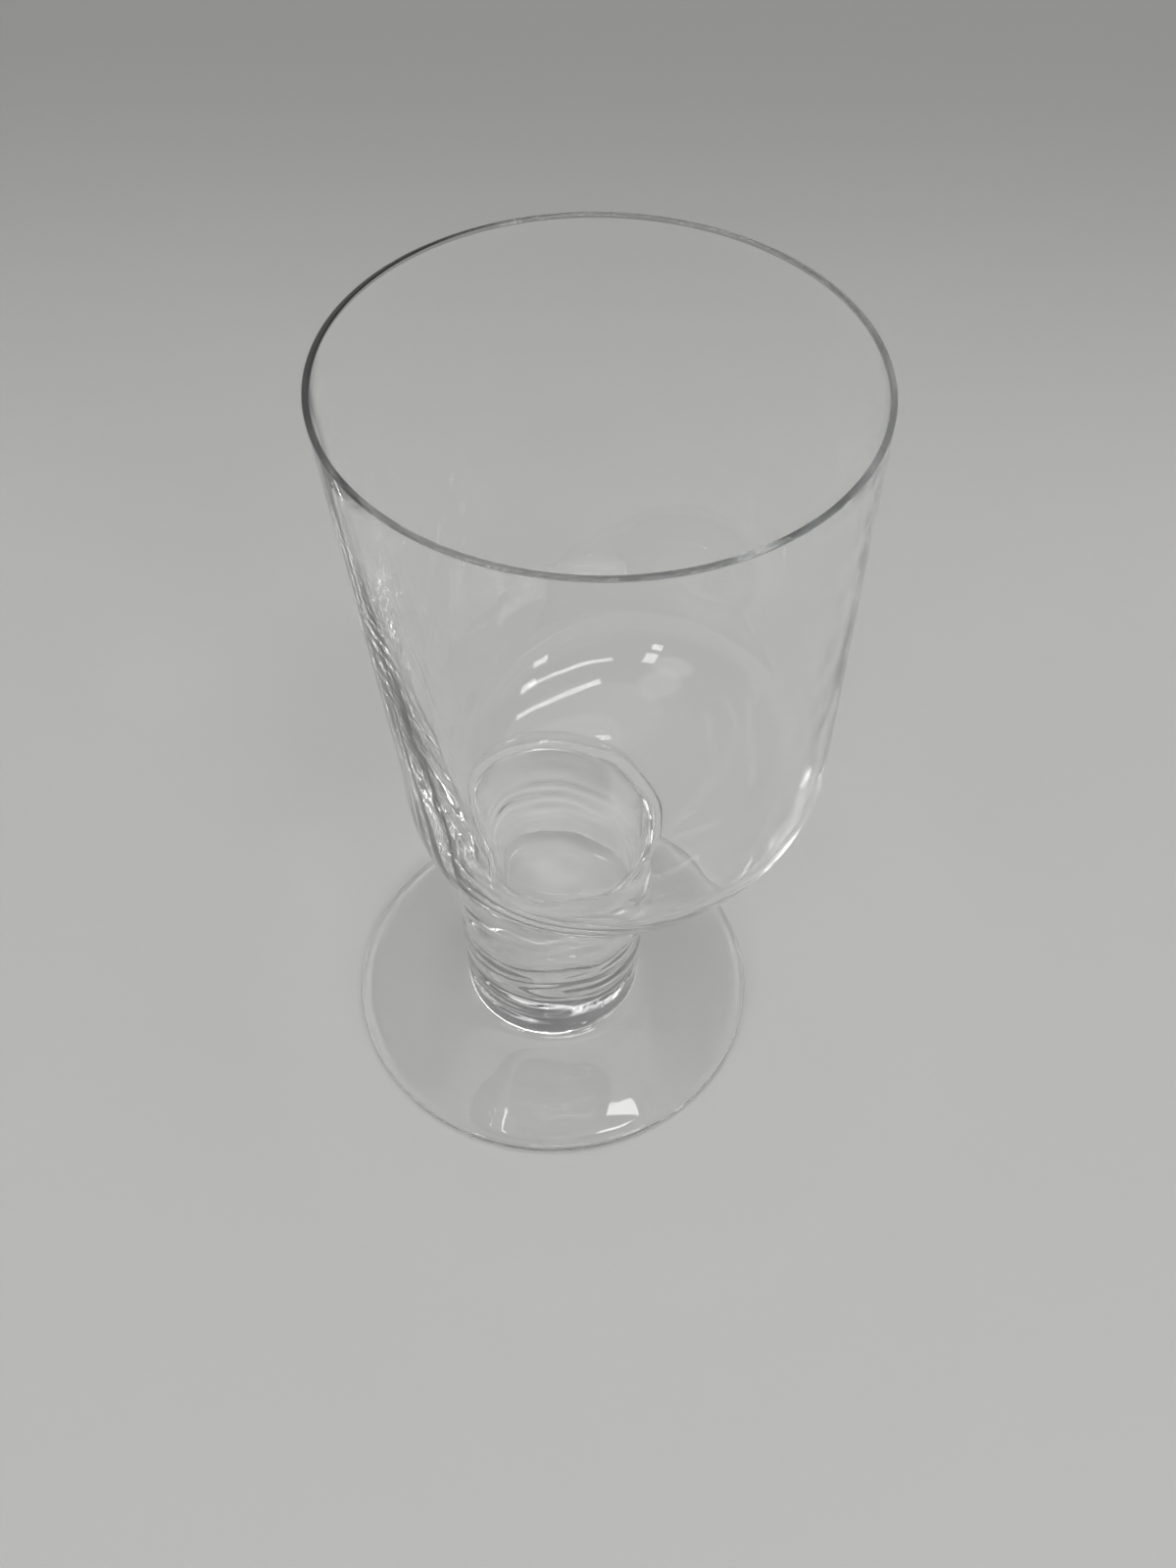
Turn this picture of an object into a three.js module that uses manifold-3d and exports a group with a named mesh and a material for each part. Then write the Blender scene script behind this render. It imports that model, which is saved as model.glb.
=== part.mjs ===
// A water glass of clear glass: an open bowl carried off-centre by a thick solid stem on a round foot.
// Millimetres, +Z up. The origin is the centre of the foot's flat underside, on the stem's axis,
// and the bowl's mouth stands off to the +X side of it.
// Three pieces, joined hot on the real glass: foot, stem and bowl.

import * as THREE from 'three';
import { mergeVertices } from 'three/addons/utils/BufferGeometryUtils.js';
import Module from 'manifold-3d';

const wasm = await Module();
wasm.setup();

// Foot: a round disc with a rounded edge, sweeping up to a flat seat under the stem.
const FOOT_RADIUS = 40;
const FOOT_EDGE = 2.4;
const FOOT_HEIGHT = 7;
const FOOT_SWEEP_REACH = 0.3;
const FOOT_SWEEP_RISE = 1.2;

// Stem: a solid column that widens slightly upwards, from the foot's seat to the bowl's lowest point.
const STEM_LENGTH = 44;
const STEM_BASE_RADIUS = 17.2;
const STEM_TOP_RADIUS = 18.9;

// Bowl, outside: a tapered wall from the mouth to the shoulder, and a rounded bottom under that.
const MOUTH_RADIUS = 40;
const MOUTH_OFFSET = 7.5;
const BOWL_DEPTH = 102;
const SHOULDER_RADIUS = 36.7;
const SHOULDER_HEIGHT = 30.5;
const SHOULDER_SWAY = 3.2;
const BOTTOM_ROUNDNESS = 2.5;

// Bowl, glass thickness: thin at the lip, thicker at the shoulder and under the liquid.
const LIP_WALL = 1;
const SHOULDER_WALL = 1.4;
const BOTTOM_WALL = 5.8;

// The seam left between the stem's saddle and the bowl.
const SEAM = 0.3;

// Fineness of the round forms.
const TURN_STEPS = 72;
const BOTTOM_STEPS = 14;
const WALL_STEPS = 3;
const EDGE_STEPS = 6;
const SWEEP_STEPS = 10;

// Heights that follow from the sizes above.
const bowlBottom = FOOT_HEIGHT + STEM_LENGTH;
const shoulder = bowlBottom + SHOULDER_HEIGHT;
const mouth = bowlBottom + BOWL_DEPTH;

const clearGlass = () => new THREE.MeshStandardMaterial({
  color: 0xeef2f0,
  roughness: 0.03,
  metalness: 0,
  transparent: true,
  opacity: 0.35,
});

// Turns a profile of (radius, height) points around the Z axis.
function turned(profile) {
  const form = new THREE.LatheGeometry(profile, TURN_STEPS);
  form.rotateX(Math.PI / 2);
  return form;
}

// Where the bowl's level rings are centred: on the mouth's own axis at the lip, a little further out
// at the shoulder, and from there bending back until the bottom closes on the stem's axis.
function ringCentre(height) {
  const swayPerDepth = SHOULDER_SWAY / (mouth - shoulder);
  const bottomCentre = MOUTH_OFFSET + swayPerDepth * BOWL_DEPTH;
  const share = THREE.MathUtils.clamp((shoulder - height) / SHOULDER_HEIGHT, 0, 1);
  return MOUTH_OFFSET + swayPerDepth * (mouth - height) - bottomCentre * share ** 2;
}

// Slides every level ring of a turned form to its place on the bowl's bending centre line.
function slidToCentres(form) {
  const points = form.attributes.position;
  for (let i = 0; i < points.count; i += 1) {
    points.setX(i, points.getX(i) + ringCentre(points.getZ(i)));
  }
  return form;
}

// One side of the bowl's wall as points from the bottom's pole up to the mouth. The wall's taper runs
// on into the bottom, which closes it as a superellipse, so the shoulder has no crease.
function bowlSide(mouthRadius, shoulderRadius, bottom, top) {
  const taper = (mouthRadius - shoulderRadius) / (mouth - shoulder);
  const wallRadius = (height) => shoulderRadius + taper * (height - shoulder);
  const power = 2 / BOTTOM_ROUNDNESS;
  const points = [new THREE.Vector2(0, bottom)];
  for (let i = 1; i <= BOTTOM_STEPS; i += 1) {
    const angle = (i / BOTTOM_STEPS) * Math.PI / 2;
    const height = shoulder - (shoulder - bottom) * Math.cos(angle) ** power;
    points.push(new THREE.Vector2(wallRadius(height) * Math.sin(angle) ** power, height));
  }
  for (let i = 1; i <= WALL_STEPS; i += 1) {
    const height = THREE.MathUtils.lerp(shoulder, top, i / WALL_STEPS);
    points.push(new THREE.Vector2(wallRadius(height), height));
  }
  return points;
}

// The bowl's outside as a filled form, grown by the seam, for cutting the stem's top to it.
function filledBowl(growth) {
  const side = bowlSide(MOUTH_RADIUS + growth, SHOULDER_RADIUS + growth, bowlBottom - growth, mouth);
  return slidToCentres(turned([...side, new THREE.Vector2(0, mouth)]));
}

// A closed form as a solid for cutting, with its seams welded and its flattened triangles left out.
function solidOf(form) {
  const shell = form.clone();
  shell.deleteAttribute('normal');
  shell.deleteAttribute('uv');
  const welded = mergeVertices(shell);
  const corners = welded.index.array;
  const triangles = [];
  for (let i = 0; i < corners.length; i += 3) {
    const [a, b, c] = corners.slice(i, i + 3);
    if (a !== b && b !== c && c !== a) triangles.push(a, b, c);
  }
  const vertProperties = new Float32Array(welded.attributes.position.array);
  const triVerts = new Uint32Array(triangles);
  return new wasm.Manifold(new wasm.Mesh({ numProp: 3, vertProperties, triVerts }));
}

function geometryOf(solid) {
  const mesh = solid.getMesh();
  const form = new THREE.BufferGeometry();
  form.setAttribute('position', new THREE.BufferAttribute(mesh.vertProperties, 3));
  form.setIndex(new THREE.BufferAttribute(mesh.triVerts, 1));
  form.computeVertexNormals();
  return form;
}

// Foot: flat underneath, rounded at its edge, swept up to the stem, flat on its seat.
function footForm() {
  const edgeRadius = FOOT_EDGE / 2;
  const edgeCentre = FOOT_RADIUS - edgeRadius;
  const edge = new THREE.EllipseCurve(
    edgeCentre, edgeRadius, edgeRadius, edgeRadius, -Math.PI / 2, Math.PI / 2,
  );
  const sweep = new THREE.QuadraticBezierCurve(
    new THREE.Vector2(edgeCentre, FOOT_EDGE),
    new THREE.Vector2(STEM_BASE_RADIUS + FOOT_SWEEP_REACH, FOOT_EDGE + FOOT_SWEEP_RISE),
    new THREE.Vector2(STEM_BASE_RADIUS, FOOT_HEIGHT),
  );
  return turned([
    new THREE.Vector2(0, 0),
    ...edge.getPoints(EDGE_STEPS),
    ...sweep.getPoints(SWEEP_STEPS).slice(1),
    new THREE.Vector2(0, FOOT_HEIGHT),
  ]);
}

// Stem: a tapered column standing on the foot's seat, its top cut to the saddle of the bowl.
function stemForm() {
  const widening = (STEM_TOP_RADIUS - STEM_BASE_RADIUS) / STEM_LENGTH;
  const blankTopRadius = STEM_BASE_RADIUS + widening * (shoulder - FOOT_HEIGHT);
  const blank = turned([
    new THREE.Vector2(0, FOOT_HEIGHT),
    new THREE.Vector2(STEM_BASE_RADIUS, FOOT_HEIGHT),
    new THREE.Vector2(blankTopRadius, shoulder),
    new THREE.Vector2(0, shoulder),
  ]);
  return geometryOf(solidOf(blank).subtract(solidOf(filledBowl(SEAM))));
}

// Bowl: up the outside from the pole, round over the lip, and down the inside to the pole again.
function bowlForm() {
  const lipRadius = LIP_WALL / 2;
  const lipHeight = mouth - lipRadius;
  const lip = new THREE.EllipseCurve(
    MOUTH_RADIUS - lipRadius, lipHeight, lipRadius, lipRadius, 0, Math.PI,
  );
  const outside = bowlSide(MOUTH_RADIUS, SHOULDER_RADIUS, bowlBottom, lipHeight);
  const inside = bowlSide(
    MOUTH_RADIUS - LIP_WALL, SHOULDER_RADIUS - SHOULDER_WALL, bowlBottom + BOTTOM_WALL, lipHeight,
  );
  const overLip = lip.getPoints(EDGE_STEPS).slice(1, -1);
  return slidToCentres(turned([...outside, ...overLip, ...inside.reverse()]));
}

function piece(name, form) {
  const mesh = new THREE.Mesh(form, clearGlass());
  mesh.name = name;
  return mesh;
}

const waterGlass = new THREE.Group();
waterGlass.add(piece('foot', footForm()));
waterGlass.add(piece('stem', stemForm()));
waterGlass.add(piece('bowl', bowlForm()));

export default waterGlass;
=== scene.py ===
import math

import bpy
from mathutils import Matrix, Vector, noise


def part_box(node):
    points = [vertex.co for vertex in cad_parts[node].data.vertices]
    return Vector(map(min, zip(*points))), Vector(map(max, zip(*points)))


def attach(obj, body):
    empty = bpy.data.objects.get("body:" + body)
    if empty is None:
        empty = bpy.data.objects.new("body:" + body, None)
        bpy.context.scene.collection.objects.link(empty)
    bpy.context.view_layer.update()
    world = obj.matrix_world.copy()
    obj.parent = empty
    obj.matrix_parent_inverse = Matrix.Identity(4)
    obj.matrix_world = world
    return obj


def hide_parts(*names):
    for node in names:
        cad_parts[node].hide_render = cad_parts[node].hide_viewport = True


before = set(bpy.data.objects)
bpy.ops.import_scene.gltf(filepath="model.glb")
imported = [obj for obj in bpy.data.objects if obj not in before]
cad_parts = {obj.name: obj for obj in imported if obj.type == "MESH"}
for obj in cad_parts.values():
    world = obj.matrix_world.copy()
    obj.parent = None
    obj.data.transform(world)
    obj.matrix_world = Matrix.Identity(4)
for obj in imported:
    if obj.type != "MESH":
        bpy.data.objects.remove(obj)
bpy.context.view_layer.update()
scene = bpy.context.scene
scene.view_settings.view_transform = "Standard"

# The photographer's eye, held over the near side of the glass and looking steeply down into it.
# The lens is given on a sensor as long as the upright picture.
EYE = Vector((0.0075, -0.1758, 0.2825))
LOOK_DOWN = math.radians(51.05)
TURN = math.radians(0.26)
TILT = math.radians(0.78)
LENS = 36
SENSOR = 36
NEAREST_SEEN = 0.01
bpy.ops.object.camera_add()
camera = bpy.context.object
camera.name = "photographer"
camera.matrix_world = (
    Matrix.Translation(EYE)
    @ Matrix.Rotation(TURN, 4, "Z")
    @ Matrix.Rotation(math.pi / 2 - LOOK_DOWN, 4, "X")
    @ Matrix.Rotation(TILT, 4, "Z")
)
camera.data.lens = LENS
camera.data.sensor_width = SENSOR
camera.data.clip_start = NEAREST_SEEN
scene.camera = camera


class Wire:
    """A node's socket. Sums and products of wires and numbers add Math nodes."""

    def __init__(self, finish, socket):
        self.finish = finish
        self.socket = socket

    def maths(self, operation, *values):
        inputs = dict(enumerate(values))
        return self.finish.node("ShaderNodeMath", {"operation": operation}, inputs)

    def __add__(self, other):
        return self.maths("ADD", self, other)

    def __radd__(self, other):
        return self.maths("ADD", other, self)

    def __mul__(self, other):
        return self.maths("MULTIPLY", self, other)

    def __rmul__(self, other):
        return self.maths("MULTIPLY", other, self)


class Finish:
    """The nodes of one material, or of the room around the glass."""

    def __init__(self, owner):
        owner.use_nodes = True
        self.tree = owner.node_tree
        self.tree.nodes.clear()

    def node(self, kind, settings=None, inputs=None, output=0):
        made = self.tree.nodes.new(kind)
        for key, value in (settings or {}).items():
            setattr(made, key, value)
        for key, value in (inputs or {}).items():
            if isinstance(value, Wire):
                self.tree.links.new(value.socket, made.inputs[key])
            else:
                made.inputs[key].default_value = value
        return Wire(self, made.outputs[output]) if made.outputs else None


# The table top: a wide plain sheet, pale grey and matt, with painted shade that darkens it
# towards its far side, standing in for the light falling off there.
# The foot stands on it with a hair of air under it, as glass does.
TABLE_REACH = 3.0
TABLE_DROP = 0.0002
TABLE_NEAR = (0.460, 0.460, 0.450, 1)
TABLE_FAR_PAINTED_SHADE = (0.315, 0.315, 0.305, 1)
FADE_START = 0.10
FADE_END = 0.42
PAPER_ROUGHNESS = 0.9
PAPER_SHEEN = 0.1
bpy.ops.object.select_all(action="DESELECT")
bpy.ops.mesh.primitive_plane_add(size=2 * TABLE_REACH, location=(0, 0, -TABLE_DROP))
table = bpy.context.object
table.name = "table_top"
paper = bpy.data.materials.new("matt_paper")
finish = Finish(paper)
place = finish.node("ShaderNodeTexCoord", output="Object")
depth = finish.node("ShaderNodeSeparateXYZ", inputs={0: place}, output="Y")
# Painted shade: the sheet's colour darkens from its near tone to its far one, as the light falls off.
painted_falloff = finish.node(
    "ShaderNodeMapRange",
    {"interpolation_type": "SMOOTHSTEP"},
    {"Value": depth, "From Min": FADE_START, "From Max": FADE_END},
)
# A Mix node takes its two colours at inputs 6 and 7, and gives the mixed one at output 2.
tone = finish.node(
    "ShaderNodeMix", {"data_type": "RGBA"}, {"Factor": painted_falloff, 6: TABLE_NEAR, 7: TABLE_FAR_PAINTED_SHADE}, output=2
)
sheet = finish.node(
    "ShaderNodeBsdfPrincipled",
    inputs={"Base Color": tone, "Roughness": PAPER_ROUGHNESS, "Specular IOR Level": PAPER_SHEEN},
)
finish.node("ShaderNodeOutputMaterial", inputs={"Surface": sheet})
table.data.materials.append(paper)

# The light: a dim room with a wide soft box overhead and a small one at the front left, which the glass
# mirrors at part of their strength. A long tube in front and four small lamps give it its glints.
# Light crosses thick glass many times before it leaves, so its paths are long and never blurred.
LIGHT_PATH_LENGTH = 96
scene.cycles.max_bounces = LIGHT_PATH_LENGTH
scene.cycles.glossy_bounces = LIGHT_PATH_LENGTH
scene.cycles.transmission_bounces = LIGHT_PATH_LENGTH
scene.cycles.blur_glossy = 0
ROOM = 0.42
MIRRORED_SHARE = 0.40
BOX_EDGE = math.radians(3)
# Each box: its turn and rise in degrees, half its spread in degrees, and its glow.
SOFT_BOXES = {
    "overhead": (0, 86, 27, 1.9),
    "front_left": (-48, 30, 10, 4.0),
}
# Each lamp: its turn and rise in degrees, its width and height in metres, and its glow.
LAMPS = {
    "front_tube": (18, 40, 1.0, 0.10, 12),
    "left_lamp": (-33, 19, 0.13, 0.13, 14),
    "right_lamp": (36, 13, 0.18, 0.18, 14),
    "back_left_lamp": (199, 69, 0.04, 0.04, 16),
    "back_right_lamp": (175, 69, 0.03, 0.03, 16),
}
LAMP_DISTANCE = 1.2


def heading(turn, rise):
    """The way from the glass to a light: turned to the right from the viewer's side, and raised."""
    turn = math.radians(turn)
    rise = math.radians(rise)
    return Vector((math.sin(turn) * math.cos(rise), -math.cos(turn) * math.cos(rise), math.sin(rise)))


room = bpy.data.worlds.new("soft_box_room")
scene.world = room
finish = Finish(room)
outlook = finish.node("ShaderNodeTexCoord")
strength = ROOM
for turn, rise, spread, glow in SOFT_BOXES.values():
    nearness = finish.node(
        "ShaderNodeVectorMath",
        {"operation": "DOT_PRODUCT"},
        {0: outlook, 1: heading(turn, rise)},
        output="Value",
    )
    box = finish.node(
        "ShaderNodeMapRange",
        {"interpolation_type": "SMOOTHSTEP"},
        {
            "Value": nearness,
            "From Min": math.cos(math.radians(spread) + BOX_EDGE),
            "From Max": math.cos(math.radians(spread) - BOX_EDGE),
        },
    )
    strength = box * glow + strength
bounces = finish.node("ShaderNodeLightPath", output="Diffuse Depth")
scattered = finish.node("ShaderNodeClamp", inputs={0: bounces})
strength = strength * (MIRRORED_SHARE + (1 - MIRRORED_SHARE) * scattered)
sky = finish.node("ShaderNodeBackground", inputs={"Color": (1, 1, 1, 1), "Strength": strength})
finish.node("ShaderNodeOutputWorld", inputs={"Surface": sky})
for name, (turn, rise, width, tall, glow) in LAMPS.items():
    towards = heading(turn, rise)
    bpy.ops.object.light_add(type="AREA", location=towards * LAMP_DISTANCE)
    lamp = bpy.context.object
    lamp.name = name
    lamp.data.shape = "RECTANGLE"
    lamp.data.size = width
    lamp.data.size_y = tall
    lamp.data.energy = glow * math.pi * width * tall
    lamp.rotation_euler = (-towards).to_track_quat("-Z", "Y").to_euler()

# The bowl: blown, with a thin tapered wall, a lip polished in the flame and a thicker rounded bottom.
# Its level rings are centred on the mouth at the lip and slide back to the stem's axis at the bottom.
# Low on the stem's side the wall is thicker, and drawn in fine upright waves.
bowl_low, bowl_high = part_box("bowl")
mouth_height = bowl_high.z
mouth_radius = bowl_high.y
mouth_offset = bowl_high.x - mouth_radius
bowl_bottom = bowl_low.z
SHOULDER_RADIUS = 0.0367
SHOULDER_HEIGHT = 0.0305
SHOULDER_SWAY = 0.0032
BOTTOM_ROUNDNESS = 2.5
LIP_ROUNDNESS = 3.2
LIP_WALL = 0.0010
SHOULDER_WALL = 0.0014
BOTTOM_WALL = 0.0058
BOTTOM_SWELL = 3
THICK_SIDE = 0.0030
THICK_SIDE_GATHER = 3
WALL_WAVE = 0.00004
WALL_WAVE_GRAIN = Vector((0.005, 0.005, 0.05))
STRIATION = 0.00008
STRIATION_GRAIN = Vector((0.0012, 0.0012, 0.03))
ROUND_STEPS = 576
BOTTOM_RINGS = 36
WALL_RINGS = 18
LIP_RINGS = 14
SMOOTH_ANGLE = math.radians(40)
shoulder = bowl_bottom + SHOULDER_HEIGHT
lip_radius = LIP_WALL / 2
lip_height = mouth_height - lip_radius
sway = SHOULDER_SWAY / (mouth_height - shoulder)
taper = (mouth_radius - SHOULDER_RADIUS) / (mouth_height - shoulder)


def ring_centre(height):
    """Where a level ring of the bowl is centred along X."""
    share = min(max((shoulder - height) / SHOULDER_HEIGHT, 0), 1)
    bend = mouth_offset + sway * (mouth_height - bowl_bottom)
    return mouth_offset + sway * (mouth_height - height) - bend * share**2


def wall_radius(height):
    """The tapered wall's outer radius, run on below the shoulder."""
    return SHOULDER_RADIUS + taper * (height - shoulder)


def draw_on(step, grow, level, centre):
    """Extrudes the picked ring by a step, then scales it across and in height about a centre."""
    bpy.ops.mesh.extrude_region_move(TRANSFORM_OT_translate={"value": step})
    bpy.ops.transform.resize(value=(grow, grow, level), center_override=centre)


def pull_rings(name, rings):
    """Draws a tube out of a circle through rings (radius, centre, height), and leaves the last picked."""
    radius, centre, height = rings[0]
    bpy.ops.object.select_all(action="DESELECT")
    bpy.ops.mesh.primitive_circle_add(vertices=ROUND_STEPS, radius=radius)
    piece = bpy.context.object
    piece.name = piece.data.name = name
    bpy.ops.object.mode_set(mode="EDIT")
    bpy.ops.transform.translate(value=(centre, 0, height))
    for next_radius, next_centre, next_height in rings[1:]:
        step = (next_centre - centre, 0, next_height - height)
        draw_on(step, next_radius / radius, 1, (next_centre, 0, next_height))
        radius, centre, height = next_radius, next_centre, next_height
    return piece


def hand_wave(place, grain, depth):
    """How far hand-worked glass stands off its true form at a place."""
    return depth * noise.noise(Vector((place.x / grain.x, place.y / grain.y, place.z / grain.z)))


# One side of the wall from the bottom's pole to the lip, as radius, height and thickness.
bottom_power = 2 / BOTTOM_ROUNDNESS
side = []
for step in range(1, BOTTOM_RINGS + 1):
    angle = step / BOTTOM_RINGS * math.pi / 2
    height = shoulder - SHOULDER_HEIGHT * math.cos(angle) ** bottom_power
    radius = wall_radius(height) * math.sin(angle) ** bottom_power
    wall = SHOULDER_WALL + (BOTTOM_WALL - SHOULDER_WALL) * math.cos(angle) ** BOTTOM_SWELL
    side.append((radius, height, wall))
for step in range(1, WALL_RINGS + 1):
    share = step / WALL_RINGS
    height = shoulder + (lip_height - shoulder) * share
    wall = SHOULDER_WALL + (LIP_WALL - SHOULDER_WALL) * share
    side.append((wall_radius(height), height, wall))
outside = [(radius, ring_centre(height), height) for radius, height, wall in side]
lip_power = 2 / LIP_ROUNDNESS
lip = []
for step in range(1, LIP_RINGS):
    angle = step / LIP_RINGS * math.pi
    across = math.copysign(abs(math.cos(angle)) ** lip_power, math.cos(angle))
    radius = mouth_radius - lip_radius + lip_radius * across
    height = lip_height + lip_radius * math.sin(angle) ** lip_power
    lip.append((radius, ring_centre(height), height))
inside = []
for before, (radius, height, wall), after in zip(side, side[1:], side[2:] + side[-1:]):
    run = Vector((after[0] - before[0], after[1] - before[1])).normalized()
    inner_height = min(height + wall * run.x, lip_height)
    inside.append((radius - wall * run.y, ring_centre(height), inner_height))

bowl = pull_rings("bowl_glass", outside + lip + inside[::-1])
bpy.ops.mesh.edge_face_add()
bpy.ops.mesh.poke()
bpy.ops.mesh.select_all(action="DESELECT")
bpy.ops.mesh.select_non_manifold()
bpy.ops.mesh.edge_face_add()
bpy.ops.mesh.poke()
bpy.ops.mesh.select_all(action="SELECT")
bpy.ops.mesh.normals_make_consistent(inside=False)
bpy.ops.object.mode_set(mode="OBJECT")
first_inner = (len(outside) + len(lip)) * ROUND_STEPS
last_inner = first_inner + len(inside) * ROUND_STEPS
for vertex in bowl.data.vertices[first_inner:last_inner]:
    place = vertex.co
    reach = place - Vector((ring_centre(place.z), 0, place.z))
    outwards = reach.normalized()
    around = Vector((outwards.x * SHOULDER_RADIUS, outwards.y * SHOULDER_RADIUS, place.z))
    fall = min((mouth_height - place.z) / (mouth_height - shoulder), 1)
    upright = min(reach.length / SHOULDER_RADIUS, 1) ** 2
    to_stem = max(-outwards.x, 0) ** 2
    wave = hand_wave(around, WALL_WAVE_GRAIN, WALL_WAVE * fall * upright)
    low = fall**THICK_SIDE_GATHER * upright
    wave += hand_wave(around, STRIATION_GRAIN, STRIATION * low * to_stem**THICK_SIDE_GATHER)
    thickening = Vector((THICK_SIDE * low * to_stem, 0, 0))
    vertex.co = place + outwards * wave + thickening
bpy.ops.object.shade_smooth_by_angle(angle=SMOOTH_ANGLE)

# The bowl's glass is clear and colourless, with soft ripples in its skin and faint smudges of hands.
# The lip's dark look is painted shade: its glass is given a dark tint, standing in for light that enters
# there and runs down inside the wall. Upright dark streaks on the thick side, where it is seen edge-on,
# are painted dark reflections in the glass's tint. Where pieces were joined hot, light passes straight
# through.
GLASS_TINT = (0.995, 0.998, 0.996, 1)
# The lip's dark tint is painted shade.
LIP_PAINTED_SHADE = (0.33, 0.34, 0.335, 1)
# The painted dark streaks begin to show, and show in full, at pairs of values. They end above the stem.
STREAK_PAINTED_SHADE = (0.07, 0.07, 0.07, 1)
STREAK_STRETCH = Vector((0, 520, 30))
STREAK_START = 0.40
STREAK_FULL = 0.55
STREAK_SLANT = 0.189
STREAK_SIDE_START = 0.0028
STREAK_SIDE_FULL = 0.0012
STREAK_LOW_START = 0.056
STREAK_LOW_FULL = 0.068
STREAK_NEAR_START = -0.002
STREAK_NEAR_FULL = -0.006
STREAK_EDGE_START = 0.30
STREAK_EDGE_FULL = 0.50
GLASS_BENDING = 1.5
SMUDGE_SCALE = 90
SMUDGE_START = 0.55
SMUDGE_FULL = 0.80
SMUDGE_ROUGHNESS = 0.05
RIPPLE_SCALE = 140
RIPPLE_DEPTH = 0.00002
GLASS_SLOT = 0
JOINT_SLOT = 1
LIP_SLOT = 2


def rising(finish, value, start, full):
    """A share that is nothing up to one value and full from another."""
    return finish.node(
        "ShaderNodeMapRange", inputs={"Value": value, "From Min": start, "From Max": full}
    )


def painted_streak_shade(finish, place):
    """How dark the painted streaks, painted dark reflections on the near face of the bowl's thick side
    seen edge-on, are at a place.
    """
    along = finish.node(
        "ShaderNodeVectorMath", {"operation": "MULTIPLY"}, {0: place, 1: STREAK_STRETCH}
    )
    lines = finish.node("ShaderNodeTexNoise", inputs={"Vector": along, "Scale": 1})
    across = finish.node("ShaderNodeSeparateXYZ", inputs={0: place}, output="X")
    depth = finish.node("ShaderNodeSeparateXYZ", inputs={0: place}, output="Y")
    height = finish.node("ShaderNodeSeparateXYZ", inputs={0: place}, output="Z")
    slanted = across + height * STREAK_SLANT
    turned_away = finish.node("ShaderNodeLayerWeight", output="Facing")
    shade = rising(finish, lines, STREAK_START, STREAK_FULL)
    shade *= rising(finish, slanted, STREAK_SIDE_START, STREAK_SIDE_FULL)
    shade *= rising(finish, height, STREAK_LOW_START, STREAK_LOW_FULL)
    shade *= rising(finish, depth, STREAK_NEAR_START, STREAK_NEAR_FULL)
    return shade * rising(finish, turned_away, STREAK_EDGE_START, STREAK_EDGE_FULL)


def glass(name, tint, with_painted_streaks=False):
    """Glass of a tint, rippled and smudged, and with painted dark streaks where asked."""
    made = bpy.data.materials.new(name)
    finish = Finish(made)
    place = finish.node("ShaderNodeTexCoord", output="Object")
    # Painted dark reflections: a dark tint is mixed into the glass's colour where the thick side is seen
    # edge-on.
    if with_painted_streaks:
        shade = painted_streak_shade(finish, place)
        colours = {"Factor": shade, 6: tint, 7: STREAK_PAINTED_SHADE}
        tint = finish.node("ShaderNodeMix", {"data_type": "RGBA"}, colours, output=2)
    hands = finish.node("ShaderNodeTexNoise", inputs={"Vector": place, "Scale": SMUDGE_SCALE})
    smudge = finish.node(
        "ShaderNodeMapRange",
        inputs={
            "Value": hands,
            "From Min": SMUDGE_START,
            "From Max": SMUDGE_FULL,
            "To Max": SMUDGE_ROUGHNESS,
        },
    )
    ripple = finish.node(
        "ShaderNodeTexNoise", inputs={"Vector": place, "Scale": RIPPLE_SCALE, "Detail": 0}
    )
    relief = finish.node("ShaderNodeBump", inputs={"Height": ripple, "Distance": RIPPLE_DEPTH})
    body = finish.node(
        "ShaderNodeBsdfPrincipled",
        inputs={
            "Base Color": tint,
            "Roughness": smudge,
            "IOR": GLASS_BENDING,
            "Transmission Weight": 1.0,
            "Normal": relief,
        },
    )
    finish.node("ShaderNodeOutputMaterial", inputs={"Surface": body})
    return made


def glaze(piece, *finishes):
    """Gives a piece its finishes, in the order of their slots."""
    piece.data.materials.clear()
    for material in finishes:
        piece.data.materials.append(material)


# The bowl's clear glass carries the painted dark streaks.
clear_glass = glass("clear_glass", GLASS_TINT, with_painted_streaks=True)
# The lip's glass, darkened by painted shade.
lip_painted_shade_glass = glass("lip_painted_shade_glass", LIP_PAINTED_SHADE)
fused_joint = bpy.data.materials.new("fused_joint")
finish = Finish(fused_joint)
clear = finish.node("ShaderNodeBsdfTransparent")
finish.node("ShaderNodeOutputMaterial", inputs={"Surface": clear})
glaze(bowl, clear_glass, fused_joint, lip_painted_shade_glass)

# The stem's print on the bowl's underside: cut with an uneven ring, as a hot joint is, and copied off
# to begin the stem.
PRINT_RADIUS = 0.0206
PRINT_REACH = 0.00275
PRINT_RISE = 0.00425
PRINT_WAVE = 0.05
PRINT_WAVE_GRAIN = Vector((0.45, 0.45, 1))
print_top = bowl_bottom + PRINT_RISE + PRINT_REACH


def print_wave(place):
    """The joint's unevenness on the way from the stem's axis to a place, as a share of its radius."""
    way = Vector((place.x, place.y, 0)).normalized()
    return 1 + hand_wave(way, PRINT_WAVE_GRAIN, PRINT_WAVE)


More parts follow.
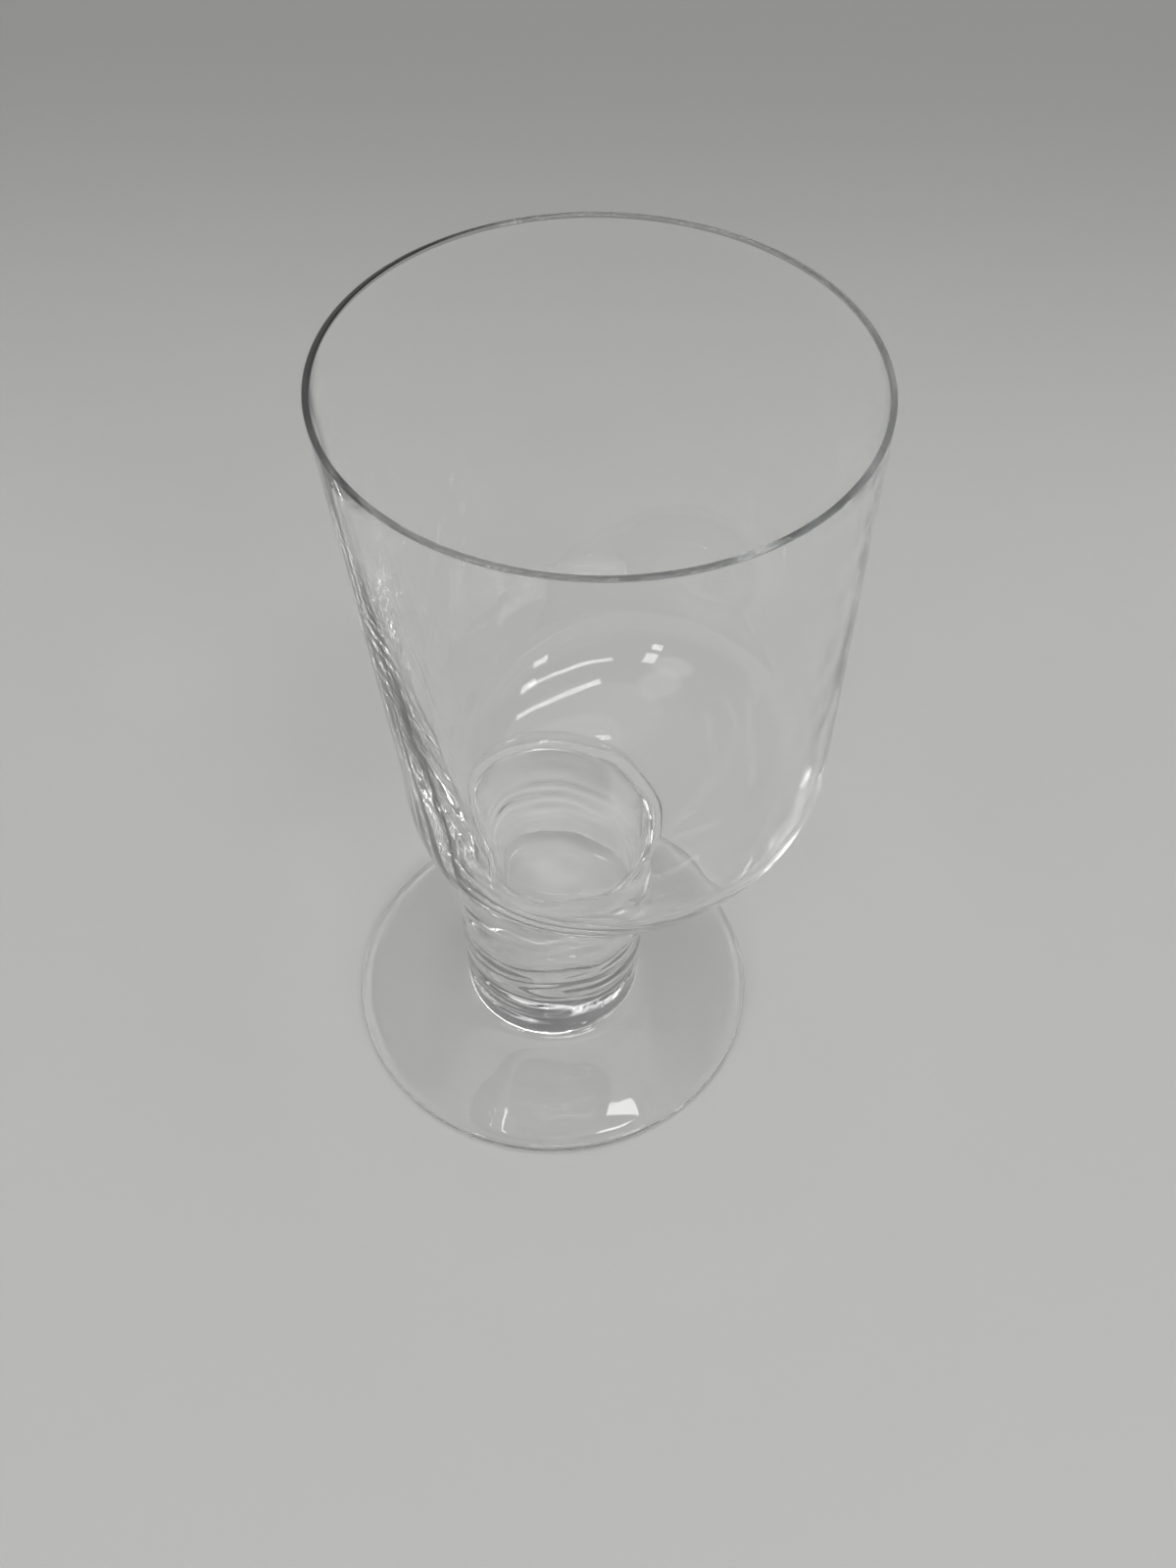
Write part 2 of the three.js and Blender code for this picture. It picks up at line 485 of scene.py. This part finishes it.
bpy.ops.object.mode_set(mode="EDIT")
bpy.ops.mesh.select_all(action="DESELECT")
bpy.ops.mesh.primitive_cylinder_add(
    vertices=ROUND_STEPS,
    radius=PRINT_RADIUS,
    depth=2 * PRINT_REACH,
    end_fill_type="NOTHING",
    location=(0, 0, bowl_bottom + PRINT_RISE),
)
bpy.ops.object.mode_set(mode="OBJECT")
for face in bowl.data.polygons:
    face.material_index = JOINT_SLOT if face.select else GLASS_SLOT
for vertex in bowl.data.vertices:
    if vertex.select:
        wave = print_wave(vertex.co)
        vertex.co.x *= wave
        vertex.co.y *= wave
bpy.ops.object.mode_set(mode="EDIT")
bpy.ops.mesh.intersect(mode="SELECT_UNSELECT", separate_mode="NONE", solver="EXACT")
bpy.ops.mesh.select_all(action="DESELECT")
bowl.active_material_index = JOINT_SLOT
bpy.ops.object.material_slot_select()
bpy.ops.mesh.delete(type="FACE")
bpy.ops.object.mode_set(mode="OBJECT")
for face in bowl.data.polygons:
    place = face.center
    underneath = face.normal.z < 0 and place.z < print_top
    face.select = underneath and math.hypot(place.x, place.y) < PRINT_RADIUS * print_wave(place)
    if face.select:
        face.material_index = JOINT_SLOT
    # Faces above the lip's height take the lip's painted-shade glass.
    elif place.z > lip_height:
        face.material_index = LIP_SLOT
bpy.ops.object.mode_set(mode="EDIT")
bpy.ops.mesh.select_mode(type="FACE")
bpy.ops.mesh.duplicate()
bpy.ops.mesh.separate(type="SELECTED")
bpy.ops.object.mode_set(mode="OBJECT")
stem = next(piece for piece in bpy.context.selected_objects if piece != bowl)
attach(bowl, "root")
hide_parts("bowl")

# The stem: a thick solid column, drawn down hot from its print on the bowl to the foot's seat.
# It widens into the joint with a small fillet, and its side is drawn in soft level waves.
foot_low, foot_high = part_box("foot")
seat_height = foot_high.z
STEM_BASE_RADIUS = 0.0172
STEM_RINGS = 48
LEVELLING = 0.75
FILLET_REACH = 0.0021
FILLET_CURVE = 1.2
FILLET_RINGS = 10
STEM_WAVE = 0.0006
STEM_WAVE_GRAIN = Vector((0.022, 0.022, 0.0042))
STEM_WAVE_LEAN = 2
FACING_DOWN = -0.9
FACING_UP = 0.5


def swell(share, lean):
    """Nothing at both ends of a stretch and full between them, nearer the start the more it leans."""
    return share * (1 - share) ** lean * (lean + 1) ** (lean + 1) / lean**lean


bpy.ops.object.select_all(action="DESELECT")
stem.select_set(True)
bpy.context.view_layer.objects.active = stem
stem.name = stem.data.name = "stem_glass"
bpy.ops.object.mode_set(mode="EDIT")
bpy.ops.mesh.select_all(action="SELECT")
bpy.ops.mesh.flip_normals()
bpy.ops.mesh.select_mode(type="EDGE")
bpy.ops.mesh.region_to_loop()
radius = PRINT_RADIUS
drop = 0
for step in range(1, FILLET_RINGS + 1):
    share = step / FILLET_RINGS
    next_radius = PRINT_RADIUS - FILLET_REACH * share
    next_drop = FILLET_REACH * (share + FILLET_CURVE * share**2)
    draw_on((0, 0, drop - next_drop), next_radius / radius, 1, (0, 0, 0))
    radius = next_radius
    drop = next_drop
neck_radius = radius
neck_height = bowl_bottom + PRINT_RISE - drop
height = neck_height
for step in range(1, STEM_RINGS + 1):
    share = step / STEM_RINGS
    next_height = neck_height + (seat_height - neck_height) * share
    next_radius = neck_radius + (STEM_BASE_RADIUS - neck_radius) * share
    level = LEVELLING if step < STEM_RINGS // 2 else 0
    draw_on((0, 0, next_height - height), next_radius / radius, level, (0, 0, next_height))
    radius = next_radius
    height = next_height
bpy.ops.mesh.edge_face_add()
bpy.ops.object.mode_set(mode="OBJECT")
for vertex in stem.data.vertices:
    place = vertex.co
    rise = min(max((place.z - seat_height) / (neck_height - seat_height), 0), 1)
    wave = hand_wave(place, STEM_WAVE_GRAIN, STEM_WAVE * swell(rise, STEM_WAVE_LEAN))
    uneven = print_wave(place)
    evened = 1 + (uneven - 1) * rise**2
    grow = evened / uneven + wave / STEM_BASE_RADIUS
    vertex.co.x *= grow
    vertex.co.y *= grow
glaze(stem, clear_glass, fused_joint)
for face in stem.data.polygons:
    joined = face.normal.z < FACING_DOWN or face.normal.z > FACING_UP
    face.material_index = JOINT_SLOT if joined else GLASS_SLOT
bpy.ops.object.shade_smooth_by_angle(angle=SMOOTH_ANGLE)
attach(stem, "root")
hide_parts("stem")

# The foot: a round disc, spun out flat while soft, thin at its rounded edge and swept up to the stem.
# Its glass is tinted greyer than the bowl's, partly for its thicker glass and partly as painted shade for
# the shaded floor under it and the dim room it mirrors. Its underside is flat, and its seat is fused to
# the stem's base.
foot_radius = foot_high.x
FOOT_TINT_AND_SHADE = (0.955, 0.955, 0.952, 1)
FOOT_EDGE = 0.0024
FOOT_SWEEP_REACH = 0.0003
FOOT_SWEEP_RISE = 0.0012
FLAT_MARGIN = 0.0002
EDGE_RINGS = 12
SWEEP_RINGS = 32
FOOT_WAVE = 0.00012
FOOT_WAVE_GRAIN = Vector((0.012, 0.012, 1))
FOOT_WAVE_LEAN = 1
edge_radius = FOOT_EDGE / 2
edge_centre = foot_radius - edge_radius
rings = [(edge_centre - FLAT_MARGIN, 0, 0), (edge_centre, 0, 0)]
for step in range(1, EDGE_RINGS + 1):
    angle = (step / EDGE_RINGS - 0.5) * math.pi
    radius = edge_centre + edge_radius * math.cos(angle)
    rings.append((radius, 0, edge_radius + edge_radius * math.sin(angle)))
start = Vector((edge_centre, FOOT_EDGE))
bend = Vector((STEM_BASE_RADIUS + FOOT_SWEEP_REACH, FOOT_EDGE + FOOT_SWEEP_RISE))
end = Vector((STEM_BASE_RADIUS, seat_height))
for step in range(1, SWEEP_RINGS + 1):
    share = step / SWEEP_RINGS
    point = start.lerp(bend, share).lerp(bend.lerp(end, share), share)
    rings.append((point.x, 0, point.y))
foot = pull_rings("foot_glass", rings)
bpy.ops.mesh.edge_face_add()
bpy.ops.mesh.select_all(action="DESELECT")
bpy.ops.mesh.select_non_manifold()
bpy.ops.mesh.edge_face_add()
bpy.ops.mesh.select_all(action="SELECT")
bpy.ops.mesh.normals_make_consistent(inside=False)
bpy.ops.object.mode_set(mode="OBJECT")
for vertex in foot.data.vertices:
    place = vertex.co
    inwards = (edge_centre - math.hypot(place.x, place.y)) / (edge_centre - STEM_BASE_RADIUS)
    if place.z > edge_radius and 0 < inwards < 1:
        vertex.co.z += hand_wave(place, FOOT_WAVE_GRAIN, FOOT_WAVE * swell(inwards, FOOT_WAVE_LEAN))
# The foot's greyer glass: thicker glass, and painted shade.
thick_shaded_glass = glass("thick_shaded_glass", FOOT_TINT_AND_SHADE)
glaze(foot, thick_shaded_glass, fused_joint)
for face in foot.data.polygons:
    on_seat = face.normal.z > 0 and math.hypot(face.center.x, face.center.y) < edge_radius
    face.material_index = JOINT_SLOT if on_seat else GLASS_SLOT
bpy.ops.object.shade_smooth_by_angle(angle=SMOOTH_ANGLE)
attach(foot, "root")
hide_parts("foot")
